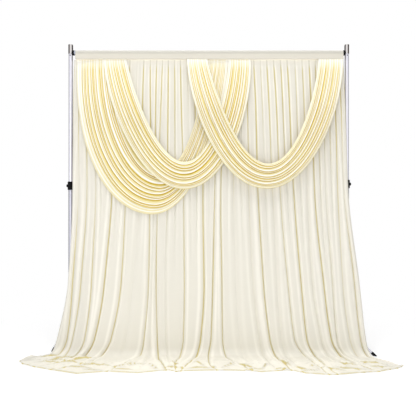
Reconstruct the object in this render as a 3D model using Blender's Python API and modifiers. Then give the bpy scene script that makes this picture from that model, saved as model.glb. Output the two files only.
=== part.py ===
"""Backdrop drape: a pleated curtain with a floor train and three swags on a pipe stand.

The curtain hangs from a flat header band that is sleeved over the crossbar. Three
pleated swags are sewn under the same band and hang one in front of the other. The
crossbar hooks into two telescopic uprights, each on a small tripod.

Units are metres, +Z is up, the front faces -Y, and the origin lies on the floor in
the middle of the footprint. "Out" is a distance in front of the crossbar's plane.
"""

import math

import bmesh
import bpy
import numpy as np
from mathutils import Matrix, Vector

# ------------------------------------------------------------------ the stand
ROD_Y = 0.178            # the crossbar's plane
ROD_Z = 2.600            # the crossbar's centre line
ROD_RADIUS = 0.019
UPRIGHT_X = 1.200
GAP = 0.0003             # between pieces that touch

UPPER_RADIUS = 0.0175
LOWER_RADIUS = 0.0190
LOWER_BORE = UPPER_RADIUS + GAP
UPPER_OVERLAP = 0.090    # how far the upper tube reaches into the lower one

HEAD_RADIUS = 0.0200
HEAD_BORE = 0.0150
HEAD_BOTTOM = 2.592
HEAD_TOP = 2.670
SLOT_WIDTH = 0.010
SLOT_BOTTOM = 2.604

CAP_RADIUS = 0.0225
CAP_INNER_X = 1.168
CAP_THICK = UPRIGHT_X - HEAD_RADIUS - GAP - CAP_INNER_X
TONGUE_REACH = 0.013
TONGUE_HEIGHT = 0.026
TONGUE_WIDTH = SLOT_WIDTH - 2 * GAP

RIVET_Z = 2.576
RIVET_RADIUS = 0.0050
RIVET_THICK = 0.0030

COLLAR_RADIUS = 0.0260
COLLAR_HEIGHT = 0.072
KNOB_RADIUS = 0.0125
KNOB_NECK_RADIUS = 0.0050
KNOB_NECK = 0.002
KNOB_THICK = 0.006

HUB_RADIUS = 0.0300
HUB_HEIGHT = 0.046
PIVOT_RADIUS = 0.042     # of the circle on which the legs meet the hub
SOCKET_RADIUS = 0.0130
SOCKET_RISE, SOCKET_DROP = 0.012, 0.022   # along the leg, above and below its pivot
LEG_RADIUS = 0.0095
LEG_LENGTH = 0.260       # along the leg, from its pivot to the floor
BOOT_LENGTH = 0.036
BOOT_RADIUS = 0.0125
LEG_ANGLES = (0.0, 120.0, 240.0)

# side, its sign along X, the collar's height, the first leg's bearing, the legs' reach
STAND_COLUMNS = ("side", "sign", "collar_z", "bearing", "reach")
STANDS = (
    ("left", -1.0, 1.445, 172.0, 0.165),
    ("right", 1.0, 1.460, 332.0, 0.235),
)

# ------------------------------------------------------------------ the header band
POCKET_CLOTH = 0.0020
POCKET_HEIGHT = 0.080
POCKET_LEFT_X = -1.155
POCKET_RIGHT_X = 1.1665
POCKET_RADIUS = ROD_RADIUS + GAP + POCKET_CLOTH
POCKET_FOOT_BACK = 0.018         # how far its underside reaches behind the crossbar
POCKET_FOOT_Z = ROD_Z + POCKET_RADIUS - POCKET_HEIGHT
POCKET_ARC_STEPS = 10
SEAM_LEAN = 0.0005               # how far a leaning top edge rises above its back
HEADER_Z = POCKET_FOOT_Z - GAP - SEAM_LEAN   # the top edge of the curtain and the swags

# ------------------------------------------------------------------ the curtain
CURTAIN_CLOTH = 0.0025
FLOOR_BEND = 0.080               # radius of the turn from hanging to lying
HEADER_OUT, CHEST_OUT, WAIST_OUT = -0.012, 0.020, 0.036
LYING_SINK = 0.003               # lying folds lower than this lie flat on the floor

# Stations down the curtain, as lengths of cloth below the header.
CHEST, WAIST, KNEE, SHIN, FLOOR, TRAIN, HEM = 0.44, 1.14, 1.94, 2.39, 2.56, 2.76, 2.98
FOLD_STATIONS = (0.0, WAIST, KNEE, SHIN, FLOOR, TRAIN, HEM)
RIDGE_STATIONS = (0.0, CHEST, WAIST, KNEE, FLOOR, TRAIN, HEM)
RIDGE_HEIGHTS = (0.006, 0.014, 0.020, 0.027, 0.028, 0.017, 0.004)
CURTAIN_ROWS = (0.0, 0.15, CHEST, 0.80, WAIST, 1.55, KNEE, 2.20, SHIN, 2.46,
                2.495, 2.53, FLOOR, 2.60, 2.67, TRAIN, 2.87, HEM)
COLUMNS_PER_FOLD = 3

# Each row is one valley from the left side edge to the right one: where it runs (x at
# the header, waist, knee, shin, floor, mid train and hem), how far out the cloth meets
# the floor, how far out the hem lies, and how deep the valley is above and below the knee.
FOLD_COLUMNS = ("header", "waist", "knee", "shin", "floor", "train", "hem",
                "break_out", "reach", "upper", "lower")
FOLDS = (
    (-1.172, -1.173, -1.212, -1.298, -1.350, -1.425, -1.500, 0.050, 0.115, 0.6, 0.7),
    (-1.120, -1.125, -1.165, -1.205, -1.270, -1.405, -1.535, 0.085, 0.190, 0.6, 0.9),
    (-1.062, -1.050, -1.090, -1.149, -1.205, -1.350, -1.548, 0.130, 0.255, 0.8, 0.9),
    (-1.000, -0.975, -0.995, -1.038, -1.125, -1.280, -1.500, 0.172, 0.330, 0.7, 0.9),
    (-0.850, -0.832, -0.886, -0.956, -1.040, -1.160, -1.370, 0.170, 0.410, 1.0, 1.0),
    (-0.687, -0.712, -0.746, -0.815, -0.900, -0.995, -1.220, 0.165, 0.475, 0.8, 0.9),
    (-0.563, -0.590, -0.640, -0.690, -0.740, -0.840, -1.000, 0.155, 0.562, 0.8, 0.1),
    (-0.509, -0.501, -0.512, -0.544, -0.575, -0.680, -0.775, 0.140, 0.515, 1.0, 1.0),
    (-0.451, -0.468, -0.478, -0.488, -0.500, -0.520, -0.540, 0.135, 0.548, 0.8, 0.4),
    (-0.400, -0.438, -0.445, -0.433, -0.418, -0.370, -0.325, 0.130, 0.485, 0.7, 1.0),
    (-0.353, -0.355, -0.371, -0.360, -0.345, -0.315, -0.285, 0.130, 0.495, 1.0, 0.4),
    (-0.246, -0.219, -0.210, -0.216, -0.240, -0.270, -0.250, 0.130, 0.520, 0.8, 0.9),
    (-0.058, -0.049, -0.040, -0.065, -0.100, -0.165, -0.215, 0.130, 0.505, 1.0, 1.0),
    (0.058, 0.051, 0.032, 0.019, -0.004, 0.000, 0.055, 0.135, 0.485, 0.9, 1.0),
    (0.115, 0.107, 0.111, 0.118, 0.145, 0.235, 0.335, 0.130, 0.500, 1.0, 1.0),
    (0.215, 0.215, 0.232, 0.262, 0.290, 0.335, 0.400, 0.130, 0.525, 0.7, 0.3),
    (0.325, 0.346, 0.378, 0.424, 0.455, 0.490, 0.530, 0.130, 0.500, 0.7, 0.6),
    (0.392, 0.428, 0.466, 0.515, 0.560, 0.605, 0.640, 0.130, 0.490, 1.0, 1.0),
    (0.507, 0.549, 0.583, 0.610, 0.650, 0.690, 0.730, 0.135, 0.550, 0.7, 0.5),
    (0.565, 0.616, 0.674, 0.720, 0.805, 0.860, 0.900, 0.135, 0.590, 0.8, 0.8),
    (0.681, 0.733, 0.785, 0.826, 0.890, 0.925, 0.965, 0.140, 0.585, 1.0, 1.0),
    (0.814, 0.849, 0.880, 0.943, 1.000, 1.080, 1.180, 0.150, 0.535, 0.6, 0.6),
    (0.872, 0.914, 0.977, 1.032, 1.110, 1.185, 1.300, 0.150, 0.520, 1.0, 1.0),
    (0.980, 1.010, 1.050, 1.075, 1.140, 1.250, 1.400, 0.148, 0.470, 0.6, 0.7),
    (1.080, 1.112, 1.138, 1.187, 1.245, 1.360, 1.475, 0.145, 0.440, 0.8, 0.7),
    (1.130, 1.165, 1.240, 1.278, 1.325, 1.420, 1.515, 0.140, 0.405, 0.6, 0.9),
    (1.172, 1.202, 1.283, 1.322, 1.362, 1.450, 1.542, 0.140, 0.377, 0.6, 0.7),
)

# ------------------------------------------------------------------ the swags
SWAG_CLOTH = 0.0020
SWAG_ROWS = 23
SWAG_CLEAR = 0.003               # from the curtain, and from the swag behind
SWAG_FULL_Z = 2.10               # below this the pleats have their full depth
HEADER_PLEAT, FULL_PLEAT = 0.0040, 0.0170
HEADER_LAYER, FULL_LAYER = 0.0085, 0.0230
INNER_ROUNDNESS = 0.75           # the inner edge hangs this much closer to a parabola

# Each row is one swag, from the rearmost: x of its outer and inner edge at the header
# on both sides, the lowest point of both edges, how full each side hangs (1 is a
# parabola, 2 a half ellipse), and its number of pleats.
SWAG_COLUMNS = ("name", "outer_left", "inner_left", "inner_right", "outer_right",
                "outer_low_x", "outer_low_z", "inner_low_x", "inner_low_z",
                "full_left", "full_right", "pleats")
SWAGS = (
    ("swag_left_lower", -1.145, -0.800, -0.012, 0.167,
     -0.482, 1.199, -0.370, 1.600, 2.4, 1.5, 8),
    ("swag_left_upper", -0.911, -0.713, 0.170, 0.364,
     -0.212, 1.414, -0.205, 1.646, 1.6, 1.65, 7),
    ("swag_right", -0.188, -0.012, 0.950, 1.160,
     0.490, 1.418, 0.505, 1.628, 1.6, 1.6, 7),
)

# name, colour, roughness, metallic
FINISHES = {
    "curtain": ((0.86, 0.83, 0.74), 0.80, 0.0),
    "swag": ((0.95, 0.88, 0.62), 0.75, 0.0),
    "header": ((0.84, 0.81, 0.72), 0.80, 0.0),
    "tube": ((0.78, 0.79, 0.81), 0.25, 1.0),
    "black": ((0.02, 0.02, 0.02), 0.50, 0.0),
    "rivet": ((0.55, 0.56, 0.58), 0.35, 1.0),
}


# ------------------------------------------------------------------ helpers
def clear_scene():
    for item in list(bpy.data.objects):
        bpy.data.objects.remove(item, do_unlink=True)


def make_collection(name):
    group = bpy.data.collections.new(name)
    bpy.context.scene.collection.children.link(group)
    return group


def make_material(name, finish):
    colour, roughness, metallic = FINISHES[finish]
    material = bpy.data.materials.new(name)
    material.use_nodes = True
    shader = material.node_tree.nodes["Principled BSDF"]
    shader.inputs["Base Color"].default_value = (*colour, 1.0)
    shader.inputs["Roughness"].default_value = roughness
    shader.inputs["Metallic"].default_value = metallic
    return material


def add_object(name, mesh, finish, group):
    item = bpy.data.objects.new(name, mesh)
    item.data.materials.clear()
    item.data.materials.append(make_material(name, finish))
    group.objects.link(item)
    return item


def as_rows(columns, table):
    return [dict(zip(columns, row)) for row in table]


def turned(profile, segments, name):
    """A closed profile of (radius, height) points, turned about Z."""
    mesh = bpy.data.meshes.new(name)
    shape = bmesh.new()
    verts = [shape.verts.new((radius, 0.0, height)) for radius, height in profile]
    closed = all(radius > 0.0 for radius, _ in profile)
    pairs = list(zip(verts, verts[1:]))
    if closed:
        pairs.append((verts[-1], verts[0]))
    edges = [shape.edges.new(pair) for pair in pairs]
    bmesh.ops.spin(shape, geom=verts + edges, cent=(0, 0, 0), axis=(0, 0, 1),
                   angle=2 * math.pi, steps=segments, use_merge=True)
    bmesh.ops.remove_doubles(shape, verts=shape.verts, dist=1e-6)
    bmesh.ops.recalc_face_normals(shape, faces=shape.faces)
    shape.to_mesh(mesh)
    shape.free()
    return mesh


def cylinder(name, radius, start, end, segments=24, end_radius=None):
    """A capped cylinder or cone between two points."""
    start, end = Vector(start), Vector(end)
    axis = end - start
    mesh = bpy.data.meshes.new(name)
    shape = bmesh.new()
    bmesh.ops.create_cone(
        shape, cap_ends=True, segments=segments, radius1=radius,
        radius2=radius if end_radius is None else end_radius, depth=axis.length,
        matrix=Matrix.Translation((start + end) / 2)
        @ axis.to_track_quat("Z", "Y").to_matrix().to_4x4())
    shape.to_mesh(mesh)
    shape.free()
    return mesh


def box(name, low, high):
    low, high = Vector(low), Vector(high)
    mesh = bpy.data.meshes.new(name)
    shape = bmesh.new()
    bmesh.ops.create_cube(shape, size=1.0, matrix=Matrix.Translation((low + high) / 2)
                          @ Matrix.Diagonal((*(high - low), 1.0)))
    shape.to_mesh(mesh)
    shape.free()
    return mesh


def boolean(item, operation, meshes, guides):
    """Join meshes to a piece, or cut them from it."""
    for number, mesh in enumerate(meshes):
        guide = bpy.data.objects.new(f"guide_{item.name}_{number}", mesh)
        guide.hide_render = True
        guide.display_type = "WIRE"
        guides.objects.link(guide)
        modifier = item.modifiers.new(f"{operation.lower()}_{number}", "BOOLEAN")
        modifier.operation = operation
        modifier.object = guide


def smooth_through(stations, values, at):
    """A smooth curve through values at stations, without overshoot, read at `at`.

    The first axis of values runs along the stations, the others are kept.
    """
    stations = np.asarray(stations, float)
    values = np.asarray(values, float)
    steps = np.diff(stations).reshape(-1, *[1] * (values.ndim - 1))
    rises = np.diff(values, axis=0) / steps
    same_way = rises[:-1] * rises[1:] > 0.0
    total = np.where(same_way, rises[:-1] + rises[1:], 1.0)
    inner = np.where(same_way, 2.0 * rises[:-1] * rises[1:] / total, 0.0)
    slopes = np.concatenate([rises[:1], inner, rises[-1:]])
    place = np.clip(np.searchsorted(stations, at, side="right") - 1, 0, len(stations) - 2)
    shape = (-1, *[1] * (values.ndim - 1))
    part = ((np.asarray(at, float) - stations[place]) / np.diff(stations)[place]).reshape(shape)
    span = steps[place]
    return ((1 + 2 * part) * (1 - part) ** 2 * values[place]
            + part * (1 - part) ** 2 * span * slopes[place]
            + part ** 2 * (3 - 2 * part) * values[place + 1]
            + part ** 2 * (part - 1) * span * slopes[place + 1])


def sheet(name, grid, thickness, finish, group):
    """A cloth sheet: the grid is its back, and it thickens to the front."""
    rows, columns, _ = grid.shape
    mesh = bpy.data.meshes.new(name)
    shape = bmesh.new()
    verts = [[shape.verts.new(point) for point in row] for row in grid]
    for row in range(rows - 1):
        for column in range(columns - 1):
            shape.faces.new((verts[row][column], verts[row + 1][column],
                             verts[row + 1][column + 1], verts[row][column + 1]))
    for face in shape.faces:
        face.smooth = True
    shape.to_mesh(mesh)
    shape.free()
    item = add_object(name, mesh, finish, group)
    cloth = item.modifiers.new("cloth", "SOLIDIFY")
    cloth.thickness = thickness
    cloth.offset = 1.0
    cloth.use_even_offset = True
    return item


# ------------------------------------------------------------------ the stand
def make_crossbar(group, guides):
    add_object("crossbar", cylinder("crossbar", ROD_RADIUS,
                                    (-CAP_INNER_X + GAP, ROD_Y, ROD_Z),
                                    (CAP_INNER_X - GAP, ROD_Y, ROD_Z), 32),
               "tube", group)
    for stand in as_rows(STAND_COLUMNS, STANDS):
        sign = stand["sign"]
        cap_outer = CAP_INNER_X + CAP_THICK
        name = f"crossbar_end_{stand['side']}"
        cap = add_object(name, cylinder(name, CAP_RADIUS, (sign * CAP_INNER_X, ROD_Y, ROD_Z),
                                        (sign * cap_outer, ROD_Y, ROD_Z), 32),
                         "black", group)
        tongue_x = sorted((sign * (cap_outer - 0.003), sign * (cap_outer + TONGUE_REACH)))
        tongue_z = max(ROD_Z, SLOT_BOTTOM + GAP)
        tongue = box("tongue", (tongue_x[0], ROD_Y - TONGUE_WIDTH / 2, tongue_z),
                     (tongue_x[1], ROD_Y + TONGUE_WIDTH / 2,
                      tongue_z + TONGUE_HEIGHT / 2))
        boolean(cap, "UNION", [tongue], guides)


def hub_height(stand):
    """The height at which legs of one length spread to the stand's reach."""
    return math.sqrt(LEG_LENGTH ** 2 - (stand["reach"] - PIVOT_RADIUS) ** 2)


def make_upright(stand, group, guides):
    side, sign = stand["side"], stand["sign"]
    x = sign * UPRIGHT_X
    collar_z = stand["collar_z"]
    foot_z = hub_height(stand) - HUB_HEIGHT / 2
    place = Matrix.Translation((x, ROD_Y, 0.0))

    upper = cylinder("upper", UPPER_RADIUS, (x, ROD_Y, collar_z - UPPER_OVERLAP),
                     (x, ROD_Y, HEAD_BOTTOM - GAP), 32)
    add_object(f"upright_upper_{side}", upper, "tube", group)

    lower = turned([(LOWER_BORE, foot_z), (LOWER_RADIUS, foot_z),
                    (LOWER_RADIUS, collar_z), (LOWER_BORE, collar_z)], 32, "lower")
    lower.transform(place)
    add_object(f"upright_lower_{side}", lower, "tube", group)

    head = turned([(HEAD_BORE, HEAD_BOTTOM), (HEAD_RADIUS, HEAD_BOTTOM),
                   (HEAD_RADIUS, HEAD_TOP), (HEAD_BORE, HEAD_TOP)], 32, "head")
    head.transform(place)
    head = add_object(f"upright_head_{side}", head, "tube", group)
    slot_x = sorted((x, x - sign * 2 * HEAD_RADIUS))
    slot = box("slot", (slot_x[0], ROD_Y - SLOT_WIDTH / 2, SLOT_BOTTOM),
               (slot_x[1], ROD_Y + SLOT_WIDTH / 2, HEAD_TOP + HEAD_RADIUS))
    boolean(head, "DIFFERENCE", [slot], guides)

    rivet_y = ROD_Y - UPPER_RADIUS - GAP
    rivet = cylinder("rivet", RIVET_RADIUS, (x, rivet_y, RIVET_Z),
                     (x, rivet_y - RIVET_THICK, RIVET_Z), 16, RIVET_RADIUS * 0.7)
    add_object(f"rivet_{side}", rivet, "rivet", group)


def make_collar(stand, group):
    side, sign = stand["side"], stand["sign"]
    x, collar_z = sign * UPRIGHT_X, stand["collar_z"]
    low, high = collar_z - COLLAR_HEIGHT / 2, collar_z + COLLAR_HEIGHT / 2
    bore = LOWER_RADIUS + GAP
    lip = COLLAR_RADIUS - 0.002
    collar = turned([(bore, low), (lip, low), (COLLAR_RADIUS, low + 0.004),
                     (COLLAR_RADIUS, high - 0.004), (lip, high), (bore, high)], 32, "collar")
    collar.transform(Matrix.Translation((x, ROD_Y, 0.0)))
    add_object(f"clamp_collar_{side}", collar, "black", group)

    start = COLLAR_RADIUS + GAP
    knob = turned([(0.0, start), (KNOB_NECK_RADIUS, start),
                   (KNOB_NECK_RADIUS, start + KNOB_NECK), (KNOB_RADIUS, start + KNOB_NECK),
                   (KNOB_RADIUS, start + KNOB_NECK + KNOB_THICK),
                   (0.0, start + KNOB_NECK + KNOB_THICK)], 20, "knob")
    knob.transform(Matrix.Translation((x, ROD_Y, collar_z))
                   @ Matrix.Rotation(sign * math.pi / 2, 4, "Y"))
    add_object(f"clamp_knob_{side}", knob, "black", group)


def make_tripod(stand, group, guides):
    side, x = stand["side"], stand["sign"] * UPRIGHT_X
    hub_z = hub_height(stand)
    sockets = []
    for number, angle in enumerate(LEG_ANGLES, start=1):
        bearing = math.radians(stand["bearing"] + angle)
        outward = Vector((math.cos(bearing), math.sin(bearing), 0.0))
        pivot = Vector((x, ROD_Y, hub_z)) + outward * PIVOT_RADIUS
        foot = Vector((x, ROD_Y, 0.0)) + outward * stand["reach"]
        along = (foot - pivot).normalized()
        sockets.append(cylinder("socket", SOCKET_RADIUS, pivot - along * SOCKET_RISE,
                                pivot + along * SOCKET_DROP, 24))
        boot_top = foot - along * BOOT_LENGTH
        leg = cylinder("leg", LEG_RADIUS, pivot + along * (SOCKET_DROP + GAP),
                       boot_top - along * GAP, 20)
        add_object(f"tripod_leg_{side}_{number}", leg, "tube", group)

        name = f"foot_tip_{side}_{number}"
        boot = add_object(name, cylinder(name, BOOT_RADIUS, boot_top,
                                         foot + along * BOOT_LENGTH, 20), "black", group)
        ground = box("ground", foot - Vector((0.1, 0.1, 0.1)), foot + Vector((0.1, 0.1, 0.0)))
        boolean(boot, "DIFFERENCE", [ground], guides)

    bore = LOWER_RADIUS + GAP
    low, high = hub_z - HUB_HEIGHT / 2, hub_z + HUB_HEIGHT / 2
    hub = turned([(bore, low), (HUB_RADIUS, low), (HUB_RADIUS, high), (bore, high)], 32, "hub")
    hub.transform(Matrix.Translation((x, ROD_Y, 0.0)))
    hub = add_object(f"tripod_hub_{side}", hub, "black", group)
    boolean(hub, "UNION", sockets, guides)


# ------------------------------------------------------------------ the header band
def pocket_outline(radius, foot_z, foot_back):
    """One outline of the sleeve: round over the crossbar, upright in front, flat below."""
    arc = [(-radius * math.cos(angle), ROD_Z + radius * math.sin(angle))
           for angle in np.linspace(0.0, math.pi, POCKET_ARC_STEPS + 1)]
    return arc + [(foot_back, foot_z), (-radius, foot_z)]


def make_header(group):
    outline = bpy.data.curves.new("header_outline", "CURVE")
    outline.dimensions = "2D"
    outline.fill_mode = "BOTH"
    outline.extrude = (POCKET_RIGHT_X - POCKET_LEFT_X) / 2
    rings = (pocket_outline(POCKET_RADIUS, POCKET_FOOT_Z, POCKET_FOOT_BACK),
             pocket_outline(ROD_RADIUS + GAP, POCKET_FOOT_Z + POCKET_CLOTH,
                            POCKET_FOOT_BACK - POCKET_CLOTH))
    for ring in rings:
        spline = outline.splines.new("POLY")
        spline.points.add(len(ring) - 1)
        spline.use_cyclic_u = True
        for point, (out, height) in zip(spline.points, ring):
            point.co = (out, height, 0.0, 1.0)
    header = add_object("header_pocket", outline, "header", group)
    # The outline's own x is the depth along Y, its y is the height, and it extrudes along X.
    header.matrix_world = (Matrix.Translation(((POCKET_LEFT_X + POCKET_RIGHT_X) / 2, ROD_Y, 0.0))
                           @ Matrix(((0, 0, 1, 0), (1, 0, 0, 0), (0, 1, 0, 0), (0, 0, 0, 1))))


# ------------------------------------------------------------------ the curtain
def curtain_out(length, break_out):
    """How far out the curtain's back hangs, at a length of cloth below the header."""
    break_out = np.asarray(break_out, float)
    even = np.ones_like(break_out)
    outs = np.array([HEADER_OUT * even, CHEST_OUT * even, WAIST_OUT * even,
                     (WAIST_OUT + break_out) / 2, break_out, break_out])
    return smooth_through((0.0, CHEST, WAIST, KNEE, FLOOR, HEM), outs, length)


def curtain_grid(rows, columns_per_fold):
    """Points on the curtain's back: rows run down the cloth, columns across it."""
    rows = np.asarray(rows, float)
    folds = as_rows(FOLD_COLUMNS, FOLDS)
    table = {key: np.array([fold[key] for fold in folds]) for key in FOLD_COLUMNS}
    columns = np.linspace(0, len(folds) - 1, (len(folds) - 1) * columns_per_fold + 1)
    across = {key: np.interp(columns, np.arange(len(folds)), values)
              for key, values in table.items()}
    x = smooth_through(FOLD_STATIONS, [across[key] for key in FOLD_COLUMNS[:7]], rows)

    # The back of the cloth hangs, turns on an arc, and lies on the floor.
    bend_start = HEADER_Z - FLOOR_BEND
    bend_end = bend_start + FLOOR_BEND * math.pi / 2
    turn = np.clip((rows - bend_start) / FLOOR_BEND, 0.0, math.pi / 2)[:, None]
    lying = np.clip((rows - bend_end) / (HEM - bend_end), 0.0, 1.0)[:, None]
    out = curtain_out(rows, across["break_out"]) + FLOOR_BEND * (1 - np.cos(turn))
    out = out + lying * (across["reach"] - across["break_out"] - FLOOR_BEND)
    height = np.where(rows[:, None] < bend_start, HEADER_Z - rows[:, None],
                      FLOOR_BEND * (1 - np.sin(turn)))

    # Ridges stand out to the front, and above the floor where the cloth lies.
    ridge = smooth_through(RIDGE_STATIONS, RIDGE_HEIGHTS, rows)[:, None]
    depth = smooth_through((0.0, WAIST, KNEE, HEM), [across["upper"], across["upper"],
                                                     across["lower"], across["lower"]], rows)
    swell = np.abs(np.sin(np.pi * columns)) ** 0.7
    wave = ridge * (1 - depth * (1 - swell))
    wave = np.maximum(wave - LYING_SINK * np.sin(turn) ** 2, 0.0)
    return np.stack([x, ROD_Y - out - wave * np.cos(turn), height + wave * np.sin(turn)],
                    axis=2)


def make_curtain(group):
    sheet("curtain_panel", curtain_grid(CURTAIN_ROWS, COLUMNS_PER_FOLD), CURTAIN_CLOTH,
          "curtain", group)


# ------------------------------------------------------------------ the swags
def swag_back(layer, height):
    """How far out the back of a swag hangs at a height: in front of all behind it."""
    length = HEADER_Z - height.ravel()
    widest = max(fold["break_out"] for fold in as_rows(FOLD_COLUMNS, FOLDS))
    curtain_front = (curtain_out(length, widest) + CURTAIN_CLOTH
                     + smooth_through(RIDGE_STATIONS, RIDGE_HEIGHTS, length))
    full = np.clip(length / (HEADER_Z - SWAG_FULL_Z), 0.0, 1.0)
    layer_depth = HEADER_LAYER + (FULL_LAYER - HEADER_LAYER) * full
    return (curtain_front + SWAG_CLEAR + layer * layer_depth).reshape(height.shape)


def swag_grid(swag, layer, rows, columns_per_pleat):
    """Points on a swag's back: rows run from its left end to its right end."""
    inward = np.linspace(0.0, 1.0, swag["pleats"] * columns_per_pleat + 1)[None, :]
    angle = np.linspace(-math.pi / 2, math.pi / 2, rows)[:, None]
    drop = np.cos(angle) * np.ones_like(inward)

    def between(edge):
        return swag[f"outer_{edge}"] + (swag[f"inner_{edge}"] - swag[f"outer_{edge}"]) * inward

    full = np.where(angle < 0.0, swag["full_left"], swag["full_right"])
    full = full * (1 - (1 - INNER_ROUNDNESS) * inward)
    middle, half = (between("left") + between("right")) / 2, (between("right") - between("left")) / 2
    x = (middle + (between("low_x") - middle) * drop
         + np.sign(angle) * half * np.sqrt(np.maximum(1 - drop ** full, 0.0)))
    height = HEADER_Z - (HEADER_Z - between("low_z")) * drop

    full_pleat = np.clip((HEADER_Z - height) / (HEADER_Z - SWAG_FULL_Z), 0.0, 1.0)
    pleat = HEADER_PLEAT + (FULL_PLEAT - HEADER_PLEAT) * full_pleat
    swell = np.abs(np.sin(np.pi * swag["pleats"] * inward))
    return np.stack([x, ROD_Y - swag_back(layer, height) - pleat * swell, height], axis=2)


def make_swags(group):
    for layer, swag in enumerate(as_rows(SWAG_COLUMNS, SWAGS)):
        sheet(swag["name"], swag_grid(swag, layer, SWAG_ROWS, 2), SWAG_CLOTH, "swag", group)


# ------------------------------------------------------------------ the whole object
def main():
    clear_scene()
    group = make_collection("backdrop_drape")
    guides = make_collection("guides")
    make_crossbar(group, guides)
    for stand in as_rows(STAND_COLUMNS, STANDS):
        make_upright(stand, group, guides)
        make_collar(stand, group)
        make_tripod(stand, group, guides)
    make_header(group)
    make_curtain(group)
    make_swags(group)
    bpy.context.view_layer.update()


main()
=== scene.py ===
# %% [markdown]
# # A cream backdrop drape, dressed in Blender
# The real thing is an event backdrop: a long ivory curtain on a crossbar between two
# telescopic uprights, with three pleated cream swags sewn under its header band. Its
# solids are already built at their real size. This lesson gives them their finish: fine
# folds, a train on the floor, polished tubes and black plastic clamps. Sizes are in
# metres, +Z is up and the front faces -Y.

# %% Load the frame
import math

import bmesh
import bpy
import numpy as np
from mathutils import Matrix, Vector


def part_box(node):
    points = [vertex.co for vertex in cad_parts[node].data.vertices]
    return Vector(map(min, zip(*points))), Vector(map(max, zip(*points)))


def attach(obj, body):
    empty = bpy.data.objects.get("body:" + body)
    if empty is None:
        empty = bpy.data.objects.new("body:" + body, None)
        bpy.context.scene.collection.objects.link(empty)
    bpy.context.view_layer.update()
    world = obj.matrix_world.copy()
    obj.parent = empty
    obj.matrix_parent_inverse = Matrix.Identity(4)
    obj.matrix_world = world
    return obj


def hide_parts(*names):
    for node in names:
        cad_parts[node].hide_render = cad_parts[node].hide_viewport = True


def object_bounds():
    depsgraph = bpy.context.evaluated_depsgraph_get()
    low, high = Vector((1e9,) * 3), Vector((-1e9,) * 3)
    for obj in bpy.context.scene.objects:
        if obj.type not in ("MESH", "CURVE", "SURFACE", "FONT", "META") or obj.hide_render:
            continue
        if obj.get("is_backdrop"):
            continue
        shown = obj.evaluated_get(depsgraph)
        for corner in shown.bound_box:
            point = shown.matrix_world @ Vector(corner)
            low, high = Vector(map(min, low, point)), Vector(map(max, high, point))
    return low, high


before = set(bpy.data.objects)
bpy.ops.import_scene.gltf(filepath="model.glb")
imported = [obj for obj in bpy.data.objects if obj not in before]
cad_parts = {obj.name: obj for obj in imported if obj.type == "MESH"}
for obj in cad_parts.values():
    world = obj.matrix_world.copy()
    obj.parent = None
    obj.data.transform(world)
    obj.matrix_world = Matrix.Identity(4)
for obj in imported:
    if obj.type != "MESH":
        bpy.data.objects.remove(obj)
solid_low, solid_high = (list(map(float, corner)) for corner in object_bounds())
print("solids span", [round(high - low, 3) for low, high in zip(solid_low, solid_high)])

# %% [markdown]
# ## Where things are
# The crossbar carries everything, so its box gives the plane that the cloth hangs in and
# the height of its header. The cloth stays on its rod if the crossbar is ever moved.

# %% Measure the crossbar and the header band
SEAM_GAP = 0.0008

rod_low, rod_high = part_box("crossbar")
band_low, band_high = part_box("header_pocket")
ROD_Y = (rod_low[1] + rod_high[1]) / 2
ROD_Z = (rod_low[2] + rod_high[2]) / 2
ROD_RADIUS = (rod_high[2] - rod_low[2]) / 2
HEADER_Z = band_low[2] - SEAM_GAP
print(f"crossbar at y {ROD_Y:.3f}, z {ROD_Z:.3f}; the cloth starts at z {HEADER_Z:.3f}")

# %% [markdown]
# ## Three small helpers
# `smooth_through` runs a curve through a few values without overshoot, so that a fold
# drawn at seven heights sways gently between them. `ease` is one smooth step, and `mixed`
# goes from one value to another.


# %% Helpers for smooth curves
def smooth_through(stations, values, at):
    """A smooth curve through values at stations, read at `at`; never overshoots."""
    stations = np.asarray(stations, float)
    values = np.asarray(values, float)
    trail = [1] * (values.ndim - 1)
    steps = np.diff(stations).reshape(-1, *trail)
    rises = np.diff(values, axis=0) / steps
    same_way = rises[:-1] * rises[1:] > 0.0
    total = np.where(same_way, rises[:-1] + rises[1:], 1.0)
    inner = np.where(same_way, 2.0 * rises[:-1] * rises[1:] / total, 0.0)
    slopes = np.concatenate([rises[:1], inner, rises[-1:]])
    place = np.clip(np.searchsorted(stations, at, side="right") - 1, 0, len(stations) - 2)
    part = (np.asarray(at, float) - stations[place]) / np.diff(stations)[place]
    part, span = part.reshape(-1, *trail), steps[place]
    return ((1 + 2 * part) * (1 - part) ** 2 * values[place]
            + part * (1 - part) ** 2 * span * slopes[place]
            + part ** 2 * (3 - 2 * part) * values[place + 1]
            + part ** 2 * (part - 1) * span * slopes[place + 1])


def ease(value, start, end):
    """0 before start, 1 after end, and a smooth step between."""
    part = np.clip((value - start) / (end - start), 0.0, 1.0)
    return part * part * (3 - 2 * part)


def mixed(first, second, share):
    return first + (second - first) * share


print("halfway between 0 and 1 is", smooth_through((0, 1), (0.0, 1.0), [0.5]))

# %% [markdown]
# ## Helpers for node trees
# A material is a small graph of nodes, and wiring one by hand takes three lines a node.
# `add_node` does it in one. An input is named by its label, or by `i` and its number
# where labels repeat. It takes a value, an output, or a node, whose first output counts.
# `new_group` opens a shared effect. The last three make the most common nodes.


# %% Helpers that wire nodes
SOCKETS = {float: "NodeSocketFloat", tuple: "NodeSocketColor", type(None): "NodeSocketVector"}


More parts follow.
